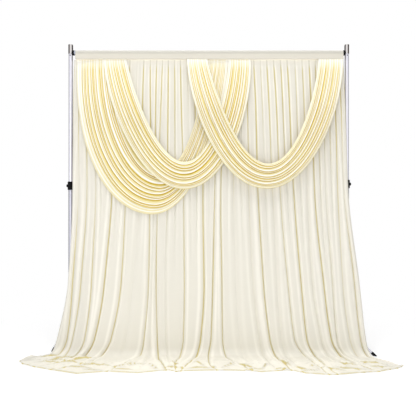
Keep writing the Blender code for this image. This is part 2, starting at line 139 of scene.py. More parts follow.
def new_group(name, inputs, outputs):
    """An empty group, what comes in and its output node. A default of None is a vector."""
    group = bpy.data.node_groups.new(name, "ShaderNodeTree")
    for label, value in inputs.items():
        socket = group.interface.new_socket(label, in_out="INPUT", socket_type=SOCKETS[type(value)])
        if value is not None:
            socket.default_value = value
    for label, kind in outputs.items():
        group.interface.new_socket(label, in_out="OUTPUT", socket_type=SOCKETS[kind])
    return group, group.nodes.new("NodeGroupInput").outputs, group.nodes.new("NodeGroupOutput")


def new_finish(name):
    """A new material, its node tree and its shader."""
    finish = bpy.data.materials.new(name)
    finish.use_nodes = True
    return finish, finish.node_tree, finish.node_tree.nodes["Principled BSDF"]


def fill(tree, node, **inputs):
    """Fill or link a node's inputs."""
    for label, value in inputs.items():
        numbered = label[0] == "i" and label[1:].isdigit()
        socket = node.inputs[int(label[1:]) if numbered else label.replace("_", " ")]
        if isinstance(value, bpy.types.Node):
            value = value.outputs[0]
        if isinstance(value, bpy.types.NodeSocket):
            tree.links.new(value, socket)
        else:
            socket.default_value = value
    return node


def add_node(tree, kind, settings=None, **inputs):
    """Add a node with its properties and inputs."""
    node = tree.nodes.new("ShaderNode" + kind)
    for label, value in (settings or {}).items():
        setattr(node, label, value)
    return fill(tree, node, **inputs)


def calculate(tree, operation, *values):
    filled = {f"i{place}": value for place, value in enumerate(values)}
    return add_node(tree, "Math", {"operation": operation}, **filled)


def smooth_step(tree, value, start, end):
    """0 at start, and smoothly to 1 at end."""
    return add_node(tree, "MapRange", {"interpolation_type": "SMOOTHSTEP"},
                    i0=value, i1=start, i2=end)


def blend(tree, share, first, second):
    return add_node(tree, "Mix", {"data_type": "RGBA"}, i0=share, i6=first, i7=second).outputs[2]


print("node helpers ready")

# %% [markdown]
# ## Camera, light and floor
# Large cloth reads best from far off and straight on, so that its folds stay parallel.
# The camera is level, at chest height, with a lens that just takes in the train.

# %% Set the camera
CAMERA_X, CAMERA_AWAY, CAMERA_HEIGHT = -0.0065, 4.2, 1.252
LENS_MM, SENSOR_MM = 41.8, 36.0
SIGHT = 60.0


def new_object(name, data):
    made = bpy.data.objects.new(name, data)
    bpy.context.scene.collection.objects.link(made)
    return made


camera_data = bpy.data.cameras.new("camera")
camera_data.lens = LENS_MM
camera_data.sensor_width = SENSOR_MM
camera_data.clip_end = SIGHT
camera = new_object("camera", camera_data)
camera.location = (CAMERA_X, ROD_Y - CAMERA_AWAY, CAMERA_HEIGHT)
camera.rotation_euler = (math.pi / 2, 0.0, 0.0)
bpy.context.scene.camera = camera
bpy.context.scene.view_settings.view_transform = "Standard"
print("camera at", [round(value, 3) for value in camera.location])

# %% [markdown]
# The light is that of a white studio. A key lamp in front and to the left gives each fold
# a bright side and a faintly warm dark one, a weaker lamp on the right fills the shade,
# and a broad one overhead reaches the train. The room is white to the camera and lights
# the cloth more dimly. For polished metal only, it is dark behind the stand: a tube has
# to mirror something dark to have dark edges.

# %% Light the scene
WHITE = (1.0, 1.0, 1.0, 1.0)
ROOM_LIGHT = 0.41
MIRRORED_DARK = (0.16, 0.16, 0.18, 1.0)
DARK_START, DARK_FULL = -0.35, 0.75
# Name, place, aim, side and power in watts.
LAMPS = (("key", (-2.0, -5.3, 1.4), (0.1, 0.1, 1.1), 1.8, 60.0),
         ("overhead", (0.0, -1.2, 7.2), (0.0, -0.5, 0.0), 4.0, 300.0),
         ("fill", (2.6, -5.0, 1.6), (0.1, 0.1, 1.1), 2.5, 18.0))

world = bpy.data.worlds.new("white room")
bpy.context.scene.world = world
world.use_nodes = True
room = world.node_tree
room_light = fill(room, room.nodes["Background"], Color=WHITE, Strength=ROOM_LIGHT)
room_wall = add_node(room, "Background", Color=WHITE)
room_dark = add_node(room, "Background", Color=MIRRORED_DARK)
room_rays = add_node(room, "LightPath")
room_way = add_node(room, "TexCoord")
room_axes = add_node(room, "SeparateXYZ", i0=room_way.outputs["Generated"])
room_behind = add_node(room, "MapRange", i0=room_axes.outputs["Y"], i1=DARK_START, i2=DARK_FULL)
room_mirrored = calculate(room, "MULTIPLY", room_behind, room_rays.outputs["Is Glossy Ray"])
room_far = add_node(room, "MixShader", i0=room_mirrored, i1=room_wall, i2=room_dark)
room_mix = add_node(room, "MixShader", i0=room_rays.outputs["Is Diffuse Ray"],
                    i1=room_far, i2=room_light)
fill(room, room.nodes["World Output"], Surface=room_mix)

for name, place, aim, side, power in LAMPS:
    lamp_data = bpy.data.lights.new(name, "AREA")
    lamp_data.shape = "RECTANGLE"
    lamp_data.size, lamp_data.size_y = side, side
    lamp_data.energy = power
    lamp = new_object(name, lamp_data)
    lamp.location = place
    lamp.rotation_euler = (Vector(aim) - Vector(place)).to_track_quat("-Z", "Y").to_euler()
print("lamps:", [name for name, *_ in LAMPS])

# %% [markdown]
# The floor is plain and pale, and only takes the cloth and its shadow. It glows a little,
# and fades for the camera into the white of the room, so no horizon shows.

# %% Lay the floor
FLOOR_HALF, FLOOR_DROP = 30.0, 0.0005
FLOOR_SURFACE = {"Base_Color": (0.98, 0.98, 0.985, 1.0), "Roughness": 0.9,
                 "Emission_Color": WHITE, "Emission_Strength": 0.18}
FADE_START, FADE_END = 1.3, 2.6

floor_mesh = bpy.data.meshes.new("floor")
floor_shape = bmesh.new()
bmesh.ops.create_grid(floor_shape, x_segments=1, y_segments=1, size=FLOOR_HALF)
floor_shape.to_mesh(floor_mesh)
floor_shape.free()
floor = new_object("floor", floor_mesh)
floor.location.z = solid_low[2] - FLOOR_DROP
floor_finish, floor_tree, floor_shader = new_finish("pale floor")
fill(floor_tree, floor_shader, **FLOOR_SURFACE)
floor_place = add_node(floor_tree, "TexCoord").outputs["Object"]
floor_away = add_node(floor_tree, "VectorMath", {"operation": "LENGTH"}, i0=floor_place)
floor_far = smooth_step(floor_tree, floor_away.outputs["Value"], FADE_START, FADE_END)
floor_rays = add_node(floor_tree, "LightPath")
floor_fade = calculate(floor_tree, "MULTIPLY", floor_far, floor_rays.outputs["Is Camera Ray"])
floor_white = add_node(floor_tree, "Emission")
floor_mix = add_node(floor_tree, "MixShader", i0=floor_fade, i1=floor_shader, i2=floor_white)
fill(floor_tree, floor_tree.nodes["Material Output"], Surface=floor_mix)
floor_mesh.materials.append(floor_finish)
floor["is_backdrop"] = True
print("floor at z", round(floor.location.z, 4))

# %% [markdown]
# ## Effects that several finishes share
# A node group is a small effect with named inputs, built once and placed in each
# material with its own values. The first is the cloth itself, a smooth warp knit. Close
# up it has narrow upright ribs, crossed by rows of loops, far too fine to model. Two sine
# waves on the cloth's own flat coordinates give both, and a Bump node in each material
# turns their height into relief.

# %% Fine knit
RIB_PITCH, ROW_PITCH = 0.0011, 0.0015
ROW_SHARE = 0.35

knit, knit_in, knit_out = new_group(
    "Fine knit", {"Cloth": None, "Rib pitch": RIB_PITCH, "Row pitch": ROW_PITCH}, {"Height": float})
knit_axes = add_node(knit, "SeparateXYZ", i0=knit_in["Cloth"])
knit_waves = []
for axis, pitch in (("X", "Rib pitch"), ("Y", "Row pitch")):
    counted = calculate(knit, "DIVIDE", knit_axes.outputs[axis], knit_in[pitch])
    turned = calculate(knit, "MULTIPLY", counted, math.tau)
    knit_waves.append(calculate(knit, "SINE", turned))
knit_rows = calculate(knit, "MULTIPLY", knit_waves[1], ROW_SHARE)
fill(knit, knit_out, Height=calculate(knit, "ADD", knit_waves[0], knit_rows))
print("group:", knit.name)

# %% [markdown]
# Light in a fold of thin cream cloth bounces from side to side, and comes back warmer each
# time. That takes long to render, so each cloth mesh stores a painted shade value for its
# points, mostly from how deep they lie, from 0 in a valley to 1 on a ridge, with painted
# glints, shade and light added in. This group paints that shade and light into the colour:
# it blends three colours, a warm painted valley shade, a flank colour and a painted ridge
# highlight, along that value.

# %% Painted fold shade
# The valley colour is painted shade, the ridge colour a painted highlight, and the flank lies between.
tint, tint_in, tint_out = new_group(
    "Painted fold shade", {"Fold": 1.0, "Valley": (0.6, 0.5, 0.3, 1.0), "Flank": (0.8, 0.75, 0.6, 1.0),
                  "Ridge": (0.95, 0.93, 0.85, 1.0), "Flank start": 0.35}, {"Color": tuple})
tint_fold, tint_start = tint_in["Fold"], tint_in["Flank start"]
tint_lower = blend(tint, smooth_step(tint, tint_fold, 0.0, tint_start),
                   tint_in["Valley"], tint_in["Flank"])
tint_upper = blend(tint, smooth_step(tint, tint_fold, tint_start, 1.0),
                   tint_lower, tint_in["Ridge"])
fill(tint, tint_out, Color=tint_upper)
print("group:", tint.name)

# %% [markdown]
# No large cloth is one even colour: it holds faint clouds where it was pressed or
# handled. A slow noise, mixed in by a few percent, is enough to take away the flat look.

# %% Soft unevenness
cloud, cloud_in, cloud_out = new_group(
    "Soft unevenness", {"Color": (0.8, 0.8, 0.8, 1.0), "Scale": 3.0, "Amount": 0.05},
    {"Color": tuple})
cloud_place = add_node(cloud, "TexCoord").outputs["Object"]
cloud_noise = add_node(cloud, "TexNoise", Vector=cloud_place, Scale=cloud_in["Scale"], Detail=3.0)
cloud_taken = calculate(cloud, "MULTIPLY", cloud_noise, cloud_in["Amount"])
cloud_kept = calculate(cloud, "SUBTRACT", 1.0, cloud_taken)
cloud_shaded = add_node(cloud, "VectorMath", {"operation": "SCALE"},
                        i0=cloud_in["Color"], Scale=cloud_kept)
fill(cloud, cloud_out, Color=cloud_shaded)
print("group:", cloud.name)

# %% [markdown]
# Tubes slide in each other and clamps are gripped by hand, which leaves fine lines and
# dull patches. Noise stretched along Z makes the lines, and a slower noise the patches.

# %% Handled surface
LINE_STRETCH, PATCH_SCALE = 0.02, 22.0

rub, rub_in, rub_out = new_group(
    "Handled surface", {"Polish": 0.2, "Patches": 0.1, "Line scale": 400.0},
    {"Roughness": float, "Height": float})
rub_place = add_node(rub, "TexCoord").outputs["Object"]
rub_stretch = add_node(rub, "Mapping", {"vector_type": "POINT"},
                       Vector=rub_place, Scale=(1.0, 1.0, LINE_STRETCH))
rub_lines = add_node(rub, "TexNoise", Vector=rub_stretch, Scale=rub_in["Line scale"], Detail=2.0)
rub_patches = add_node(rub, "TexNoise", Vector=rub_place, Scale=PATCH_SCALE, Detail=4.0)
rub_share = calculate(rub, "MULTIPLY", rub_patches, rub_in["Patches"])
fill(rub, rub_out, Height=rub_lines, Roughness=calculate(rub, "ADD", rub_share, rub_in["Polish"]))
print("group:", rub.name)

# %% [markdown]
# ## The finishes
# The curtain and its band are ivory, and the swags are a warmer cream of the same knit.
# They differ only in their colours and in how much light they let through, so one
# function makes all three. Sheen is the pale glow of fibres at the edge of a fold. It is
# the same all over, so it is set on the shader's own socket.

# %% Cloth finishes
KNIT_STRENGTH, KNIT_HEIGHT = 0.15, 0.0004
CLOTH_CLOUDS = {"Scale": 2.3, "Amount": 0.05}
CLOTH_SURFACE = {"Roughness": 0.72, "Sheen_Weight": 0.06, "Sheen_Roughness": 0.45,
                 "Specular_IOR_Level": 0.25}


def place_group(tree, group, **inputs):
    return add_node(tree, "Group", {"node_tree": group}, **inputs)


def cloth_finish(name, valley, flank, ridge, flank_start, let_through):
    finish, tree, shader = new_finish(name)
    # The fold attribute holds each point's painted shade value.
    depth = add_node(tree, "Attribute", {"attribute_name": "fold"})
    flat = add_node(tree, "UVMap", {"uv_map": "cloth"})
    painted_colour = place_group(tree, tint, Fold=depth.outputs["Fac"], Valley=(*valley, 1.0),
                         Flank=(*flank, 1.0), Ridge=(*ridge, 1.0), Flank_start=flank_start)
    uneven = place_group(tree, cloud, Color=painted_colour, **CLOTH_CLOUDS)
    loops = place_group(tree, knit, Cloth=flat.outputs["UV"])
    bump = add_node(tree, "Bump", Strength=KNIT_STRENGTH, Distance=KNIT_HEIGHT, Height=loops)
    fill(tree, shader, Base_Color=uneven, Normal=bump, **CLOTH_SURFACE)

    # Thin cloth lets part of the light through, so its shadow is pale.
    rays = add_node(tree, "LightPath")
    passed = calculate(tree, "MULTIPLY", rays.outputs["Is Shadow Ray"], let_through)
    clear = add_node(tree, "BsdfTransparent")
    mix = add_node(tree, "MixShader", i0=passed, i1=shader, i2=clear)
    fill(tree, tree.nodes["Material Output"], Surface=mix)
    return finish


# Name, painted valley shade, flank colour and painted ridge highlight, the value where
# the flank starts, and light let through.
CLOTHS = (("ivory knit", (0.66, 0.57, 0.26), (0.78, 0.75, 0.66), (0.91, 0.88, 0.79), 0.42, 0.2),
          ("cream knit", (0.69, 0.49, 0.01), (0.85, 0.76, 0.43), (0.98, 0.97, 0.94), 0.5, 0.6),
          ("ivory band", (0.59, 0.57, 0.51), (0.65, 0.62, 0.54), (0.97, 0.92, 0.8), 0.5, 0.85))
CURTAIN_CLOTH, SWAG_CLOTH, HEADER_CLOTH = (cloth_finish(*values) for values in CLOTHS)
print("cloths:", [name for name, *_ in CLOTHS])

# %% [markdown]
# The stand has bright upper tubes, darker and rougher lower ones, heads of nickel, and
# clamps, hubs and boots of black plastic. Round metal is bright where it faces the eye and
# dark at its rim. These tubes are too narrow for reflections to draw that cleanly, so a
# blend on the angle of view paints the dark rim into the colour: a painted reflection,
# which gives the heads most of their dark look. The crossbar's dark grey is painted shade.

# %% Hard finishes
LINE_HEIGHT = 0.0003
HARD_CLOUDS = {"Scale": 14.0, "Amount": 0.12}


def hard_finish(name, colour, painted_rim, polish, patches, relief, metallic, shine, rim_from, rim_full):
    finish, tree, shader = new_finish(name)
    handled = place_group(tree, rub, Polish=polish, Patches=patches)
    # Painted reflection: where the surface turns away from the eye, the colour turns to the dark rim
    # colour.
    turned = add_node(tree, "LayerWeight", Blend=0.5)
    at_rim = smooth_step(tree, turned.outputs["Facing"], rim_from, rim_full)
    rounded = blend(tree, at_rim, (*colour, 1.0), (*painted_rim, 1.0))
    uneven = place_group(tree, cloud, Color=rounded, **HARD_CLOUDS)
    bump = add_node(tree, "Bump", Strength=relief, Distance=LINE_HEIGHT,
                    Height=handled.outputs["Height"])
    fill(tree, shader, Base_Color=uneven, Roughness=handled, Normal=bump,
         Metallic=metallic, Specular_IOR_Level=shine)
    return finish


# The first words of the nodes' names, and the values of hard_finish. The first match counts.
STAND = (
    (("crossbar_end", "clamp", "tripod_hub", "foot_tip"), "black clamp plastic",
     (0.006, 0.006, 0.007), (0.006, 0.006, 0.007), 0.42, 0.2, 0.25, 0.0, 0.08, 0.12, 0.62),
    (("rivet",), "rivet steel",
     (0.05, 0.055, 0.07), (0.03, 0.035, 0.045), 0.35, 0.2, 0.1, 1.0, 0.5, 0.12, 0.62),
    # The head's dark look comes mostly from its painted dark rim, a painted reflection.
    (("upright_head",), "nickel head, painted dark rim",
     (0.88, 0.85, 0.84), (0.06, 0.04, 0.035), 0.1, 0.12, 0.02, 1.0, 0.5, 0.01, 0.26),
    (("upright_lower",), "lower tube",
     (0.55, 0.55, 0.62), (0.07, 0.07, 0.09), 0.4, 0.16, 0.02, 1.0, 0.5, 0.22, 0.75),
    (("upright", "tripod_leg"), "polished tube",
     (0.78, 0.77, 0.84), (0.08, 0.08, 0.1), 0.34, 0.16, 0.02, 1.0, 0.5, 0.25, 0.8),
    # The crossbar's dark grey colour is painted shade.
    (("crossbar",), "crossbar steel, painted shade",
     (0.3, 0.32, 0.38), (0.2, 0.22, 0.26), 0.25, 0.2, 0.1, 1.0, 0.5, 0.12, 0.62),
)
stand_finishes = {starts: hard_finish(*values) for starts, *values in STAND}
print("hard finishes:", [finish.name for finish in stand_finishes.values()])

# %% [markdown]
# ## From a grid of points to a piece of cloth
# Every cloth here is one sheet. A simulation would make one too, but its folds settle
# where the solver leaves them, and here each fold has its place. So each sheet is a grid
# of points laid out by formulas. One function turns such a grid into a mesh with flat
# coordinates and a stored value of painted shade and highlight for its folds.


# %% Make a sheet of cloth
def cloth_piece(name, points, depth, finish, thickness=0.0):
    rows, columns, _ = points.shape
    number = np.arange(rows * columns).reshape(rows, columns)
    faces = np.stack([number[:-1, :-1], number[1:, :-1], number[1:, 1:], number[:-1, 1:]],
                     axis=2).reshape(-1, 4)
    mesh = bpy.data.meshes.new(name)
    mesh.from_pydata(points.reshape(-1, 3).tolist(), [], faces.tolist())
    mesh.shade_smooth()
    # The fold attribute is a painted shade value: 0 for valley shade, 1 for a ridge highlight.
    stored = mesh.attributes.new("fold", "FLOAT", "POINT")
    stored.data.foreach_set("value", depth.ravel().astype(np.float32))

    # The flat coordinates are lengths of cloth along the middle row and column.
    across = np.linalg.norm(np.diff(points[rows // 2], axis=0), axis=1)
    down = np.linalg.norm(np.diff(points[:, columns // 2], axis=0), axis=1)
    flat = np.stack(np.meshgrid(np.append(0, np.cumsum(across)), np.append(0, np.cumsum(down))),
                    axis=2).reshape(-1, 2)
    layer = mesh.uv_layers.new(name="cloth")
    layer.data.foreach_set("uv", flat[faces.ravel()].astype(np.float32).ravel())

    piece = new_object(name, mesh)
    mesh.materials.append(finish)
    if thickness:
        cloth = piece.modifiers.new("cloth", "SOLIDIFY")
        cloth.thickness, cloth.offset = thickness, 1.0
    area = sum(face.area for face in mesh.polygons)
    print(f"{name}: {rows} x {columns} points, {flat[:, 0].max():.2f} m by "
          f"{flat[:, 1].max():.2f} m when flat, {area:.2f} square metres of cloth")
    return piece


# %% [markdown]
# ## The curtain
# The curtain is the panel that falls from the band to the floor and runs out as a train.
# It is drawn the way it hangs: as a row of valleys. Each row of this table is one valley
# that the eye can follow from the header to the hem: its x at seven stations down the
# cloth, how far out the cloth meets the floor and the hem lies, how deep the valley is
# above and below the waist, how wide it is on each side, how many small pleats gather the
# fold to its right, and the length of cloth by which they have melted away.

# %% The curtain's table of folds
# Lengths of cloth below the header, named after the heights they hang at.
CHEST, WAIST, KNEE, SHIN, FLOOR, TRAIN, HEM = 0.44, 1.14, 1.94, 2.39, 2.56, 2.76, 2.98
FOLD_STATIONS = (0.0, WAIST, KNEE, SHIN, FLOOR, TRAIN, HEM)
STATION_KEYS = ("header", "waist", "knee", "shin", "floor", "train", "hem")
FOLD_COLUMNS = (*STATION_KEYS, "break_out", "reach", "upper", "lower", "left", "right",
                "pleats", "melted")
FOLDS = (
    (-1.172, -1.173, -1.212, -1.298, -1.35, -1.425, -1.5, 0.05, 0.115, 0.6, 0.7, 0.01, 0.01, 1, 1.6),
    (-1.12, -1.125, -1.165, -1.205, -1.27, -1.405, -1.535, 0.085, 0.19, 0.6, 0.9, 0.02, 0.02, 1, 1.6),
    (-1.062, -1.05, -1.09, -1.149, -1.205, -1.35, -1.548, 0.13, 0.255, 0.8, 0.9, 0.014, 0.014, 1, 1.7),
    (-1.0, -0.975, -0.995, -1.038, -1.125, -1.28, -1.5, 0.172, 0.33, 0.7, 0.9, 0.006, 0.018, 3, 1.8),
    (-0.85, -0.832, -0.886, -0.956, -1.04, -1.16, -1.37, 0.17, 0.41, 1.0, 1.0, 0.02, 0.008, 3, 1.9),
    (-0.687, -0.712, -0.746, -0.815, -0.9, -0.995, -1.22, 0.165, 0.475, 0.8, 0.9, 0.02, 0.01, 2, 1.8),
    (-0.563, -0.59, -0.64, -0.69, -0.74, -0.84, -1.0, 0.155, 0.562, 0.8, 0.1, 0.02, 0.02, 1, 1.7),
    (-0.509, -0.501, -0.512, -0.544, -0.575, -0.68, -0.775, 0.14, 0.515, 1.0, 1.0, 0.018, 0.006, 1, 1.5),
    (-0.451, -0.468, -0.478, -0.488, -0.5, -0.52, -0.54, 0.135, 0.548, 0.8, 0.4, 0.02, 0.02, 1, 1.5),
    (-0.4, -0.438, -0.445, -0.433, -0.418, -0.37, -0.325, 0.13, 0.485, 0.7, 1.0, 0.02, 0.006, 1, 1.8),
    (-0.353, -0.355, -0.371, -0.36, -0.345, -0.315, -0.285, 0.13, 0.495, 1.0, 0.4, 0.006, 0.012, 2, 2.0),
    (-0.246, -0.219, -0.21, -0.216, -0.24, -0.27, -0.25, 0.13, 0.52, 0.8, 0.9, 0.006, 0.016, 3, 2.0),
    (-0.058, -0.049, -0.04, -0.065, -0.1, -0.165, -0.215, 0.13, 0.505, 1.0, 1.0, 0.022, 0.01, 2, 1.8),
    (0.058, 0.051, 0.032, 0.019, -0.004, 0.0, 0.055, 0.135, 0.485, 0.9, 1.0, 0.006, 0.016, 1, 1.6),
    (0.115, 0.107, 0.111, 0.118, 0.145, 0.235, 0.335, 0.13, 0.5, 1.0, 1.0, 0.014, 0.006, 2, 1.8),
    (0.215, 0.215, 0.232, 0.262, 0.29, 0.335, 0.4, 0.13, 0.525, 0.7, 0.3, 0.025, 0.025, 2, 1.9),
    (0.325, 0.346, 0.378, 0.424, 0.455, 0.49, 0.53, 0.13, 0.5, 0.7, 0.6, 0.02, 0.02, 1, 1.7),
    (0.392, 0.428, 0.466, 0.515, 0.56, 0.605, 0.64, 0.13, 0.49, 1.0, 1.0, 0.018, 0.006, 2, 1.9),
    (0.507, 0.549, 0.583, 0.61, 0.65, 0.69, 0.73, 0.135, 0.55, 0.7, 0.5, 0.02, 0.02, 1, 1.7),
    (0.565, 0.616, 0.674, 0.72, 0.805, 0.86, 0.9, 0.135, 0.59, 0.8, 0.8, 0.012, 0.012, 2, 1.8),
    (0.681, 0.733, 0.785, 0.826, 0.89, 0.925, 0.965, 0.14, 0.585, 1.0, 1.0, 0.016, 0.008, 2, 1.9),
    (0.814, 0.849, 0.88, 0.943, 1.0, 1.08, 1.18, 0.15, 0.535, 0.6, 0.6, 0.018, 0.012, 1, 1.7),
    (0.872, 0.914, 0.977, 1.032, 1.11, 1.185, 1.3, 0.15, 0.52, 1.0, 1.0, 0.02, 0.006, 2, 2.0),
    (0.98, 1.01, 1.05, 1.075, 1.14, 1.25, 1.4, 0.148, 0.47, 0.6, 0.7, 0.01, 0.01, 2, 1.8),
    (1.08, 1.112, 1.138, 1.187, 1.245, 1.36, 1.475, 0.145, 0.44, 0.8, 0.7, 0.02, 0.02, 1, 1.8),
    (1.13, 1.165, 1.24, 1.278, 1.325, 1.42, 1.515, 0.14, 0.405, 0.6, 0.9, 0.014, 0.006, 1, 1.8),
    (1.172, 1.202, 1.283, 1.322, 1.362, 1.45, 1.542, 0.14, 0.377, 0.6, 0.7, 0.01, 0.01, 1, 1.8),
)
folds = {key: np.array(values, float) for key, values in zip(FOLD_COLUMNS, zip(*FOLDS))}
pleat_counts = [int(count) for count in folds["pleats"][:-1]]
print(len(FOLDS), "valleys, and", sum(pleat_counts), "pleats at the top")

# %% [markdown]
# The side view comes first: how far the back of the cloth stands out from the crossbar's
# plane, and how high its ridges rise above its valleys. The cloth hangs nearly plumb,
# swings forward towards the floor, turns on a small arc, and runs out flat.

# %% The curtain's side view
FLOOR_BEND = 0.08
HEADER_OUT, CHEST_OUT, WAIST_OUT = -0.012, 0.02, 0.036
RIDGE_STATIONS = (0.0, CHEST, WAIST, KNEE, FLOOR, TRAIN, HEM)
RIDGE_HEIGHTS = (0.006, 0.014, 0.02, 0.027, 0.028, 0.017, 0.004)
BEND_START = HEADER_Z - FLOOR_BEND
BEND_END = BEND_START + FLOOR_BEND * math.pi / 2


def curtain_out(length, break_out):
    """How far out the curtain's back hangs, at a length of cloth below the header."""
    break_out = np.asarray(break_out, float)
    even = np.ones_like(break_out)
    outs = np.array([HEADER_OUT * even, CHEST_OUT * even, WAIST_OUT * even,
                     (WAIST_OUT + break_out) / 2, break_out, break_out])
    return smooth_through((0.0, CHEST, WAIST, KNEE, FLOOR, HEM), outs, length)


print("out at the waist", curtain_out([WAIST], np.array([0.14])).round(3))

# %% [markdown]
# Then the front view: the shape across the folds. A hanging fold is a broad soft crown
# between narrow valleys. A valley is as narrow in a wide fold as in a small one, so its
# width is a length and not a share of the fold, and it may be sharp on one side and soft
# on the other. The small pleats of the header have the same shape and melt away on the
# way down. A thin bright line beside a valley, a glint, is a painted highlight: it only
# goes into the stored shade value.

# %% The shape across the folds
PLEAT_WIDTH, PLEAT_DEPTH, PLEAT_VARIES = 0.006, 0.92, 0.25
MELT_LENGTH = 1.0
VALLEY_POWER, VALLEY_NARROWS = 1.3, 0.25
CROWN, CROWN_POWER = 0.28, 0.8
CREST_LIMITS = (0.25, 0.75)
# Where a glint lies and how wide it is, in widths of its valley.
FOLD_GLINT, PLEAT_GLINT = (1.9, 0.55), (2.2, 0.8)


def valley_cut(distance, width, depth):
    """What is left beside a valley: 1 far from it, 1 - depth at its bottom."""
    return 1 - depth * np.exp(-(np.abs(distance) / width) ** VALLEY_POWER)


def glint_beside(distance, width, glint):
    place, spread = glint
    return np.exp(-((distance / width - place) / spread) ** 2)


def fold_shape(columns, rows):
    """0 in the valleys to 1 on the ridges, and how bright a glint lies beside a valley."""
    fold = np.minimum(np.floor(columns).astype(int), len(FOLDS) - 2)
    part = columns - fold
    valley_x = smooth_through(FOLD_STATIONS, [folds[key] for key in STATION_KEYS], rows)
    width = np.abs(valley_x[:, fold + 1] - valley_x[:, fold]) + 1e-6
    lower = ease(rows, WAIST - 0.2, KNEE)[:, None]
    depth = mixed(folds["upper"], folds["lower"], lower)
    opened = ease(rows, CHEST, WAIST + 0.3)[:, None]
    left = mixed(PLEAT_WIDTH, folds["left"], opened)
    right = mixed(PLEAT_WIDTH, folds["right"], opened)

    # The crest of a fold lies nearer to its sharper valley.
    crest = np.clip(right[:, fold] / (right[:, fold] + left[:, fold + 1]), *CREST_LIMITS)
    bent = np.where(part < crest, 0.5 * part / crest, 1 - 0.5 * (1 - part) / (1 - crest))
    shape = (1 - CROWN) + CROWN * np.sin(np.pi * bent) ** CROWN_POWER
    glint = np.zeros_like(shape)
    for distance, wide, deep in ((part * width, right[:, fold], depth[:, fold]),
                                 ((1 - part) * width, left[:, fold + 1], depth[:, fold + 1])):
        shape = shape * valley_cut(distance, wide * (1 - VALLEY_NARROWS * opened), deep)
        glint = glint + deep * glint_beside(distance, wide, FOLD_GLINT)

    # The small pleats of this fold lie between its valleys, no two of them equally deep.
    pleats = folds["pleats"][fold]
    melted = folds["melted"][fold]
    strength = PLEAT_DEPTH * (1 - ease(rows[:, None], melted - MELT_LENGTH, melted))
    for number in range(1, int(pleats.max())):
        unlike = 1 - PLEAT_VARIES * (1 - np.sin(4.3 * fold + 2.0 * number))
        here = (number < pleats) * strength * unlike
        distance = (part - number / pleats) * width
        shape = shape * valley_cut(distance, PLEAT_WIDTH, here)
        glint = glint + here * glint_beside(distance, PLEAT_WIDTH, PLEAT_GLINT)
    return shape, glint


print("a valley 8 mm off keeps", round(float(valley_cut(0.008, PLEAT_WIDTH, 1.0)), 2))

# %% [markdown]
# A real train is pulled about by hand, so it holds a few creases that no fold explains.
# Each is a short ridge, pinched up from the floor, with its front face in shade. The rest
# of the unevenness is a sum of long waves that never line up. It needs no random numbers,
# so it is the same on each run.

# %% Creases and unevenness
# Each crease: x and out of its start, x and out of its end, its height and its width.
CREASES = (
    (-1.38, 0.3, -1.12, 0.33, 0.012, 0.009), (-1.3, 0.22, -1.42, 0.27, 0.008, 0.006),
    (-1.46, 0.2, -1.18, 0.12, 0.014, 0.01), (-1.42, 0.33, -1.02, 0.17, 0.018, 0.01),
    (-1.3, 0.38, -0.92, 0.22, 0.018, 0.01),
    (-1.16, 0.41, -0.9, 0.45, 0.015, 0.012), (-1.24, 0.27, -0.98, 0.36, 0.016, 0.011),
    (-1.02, 0.37, -0.74, 0.41, 0.018, 0.011), (-0.98, 0.47, -0.8, 0.51, 0.014, 0.01),
    (-0.8, 0.44, -0.48, 0.35, 0.019, 0.011), (-0.74, 0.46, -0.56, 0.5, 0.014, 0.01),
    (-0.62, 0.3, -0.66, 0.46, 0.016, 0.012), (-0.48, 0.35, -0.38, 0.49, 0.019, 0.01),
    (-0.36, 0.42, -0.16, 0.46, 0.019, 0.011), (-0.3, 0.3, -0.22, 0.39, 0.015, 0.01),
    (-0.18, 0.46, 0.02, 0.44, 0.019, 0.01), (-0.12, 0.3, -0.02, 0.41, 0.016, 0.011),
    (0.02, 0.3, 0.06, 0.45, 0.019, 0.01), (0.08, 0.47, 0.22, 0.33, 0.018, 0.01),
    (0.22, 0.34, 0.37, 0.47, 0.018, 0.011), (0.28, 0.5, 0.44, 0.46, 0.015, 0.01),
    (0.46, 0.34, 0.4, 0.48, 0.015, 0.012), (0.5, 0.45, 0.66, 0.52, 0.016, 0.01),
    (0.58, 0.26, 0.66, 0.43, 0.02, 0.011), (0.66, 0.42, 0.78, 0.52, 0.022, 0.01),
    (0.7, 0.53, 0.84, 0.5, 0.018, 0.009), (0.78, 0.36, 0.86, 0.5, 0.018, 0.01),
    (0.86, 0.43, 1.06, 0.51, 0.016, 0.01), (0.98, 0.45, 1.22, 0.48, 0.016, 0.012),
    (1.02, 0.32, 1.2, 0.41, 0.015, 0.011), (1.2, 0.3, 1.42, 0.38, 0.014, 0.011),
    (1.24, 0.42, 1.42, 0.41, 0.012, 0.01),
)
# Where a crease's shade lies, how wide it is and where it stops, in widths of the crease.
SHADE_AHEAD, SHADE_SPREAD, SHADE_STOPS = 0.85, 0.46, 3
# Each wave's count per unit across, its count per unit along, and its start.
WAVES = ((0.9, 0.37, 0.4), (1.7, -0.53, 1.9), (2.9, 0.72, 3.1), (0.33, 0.9, 5.0))


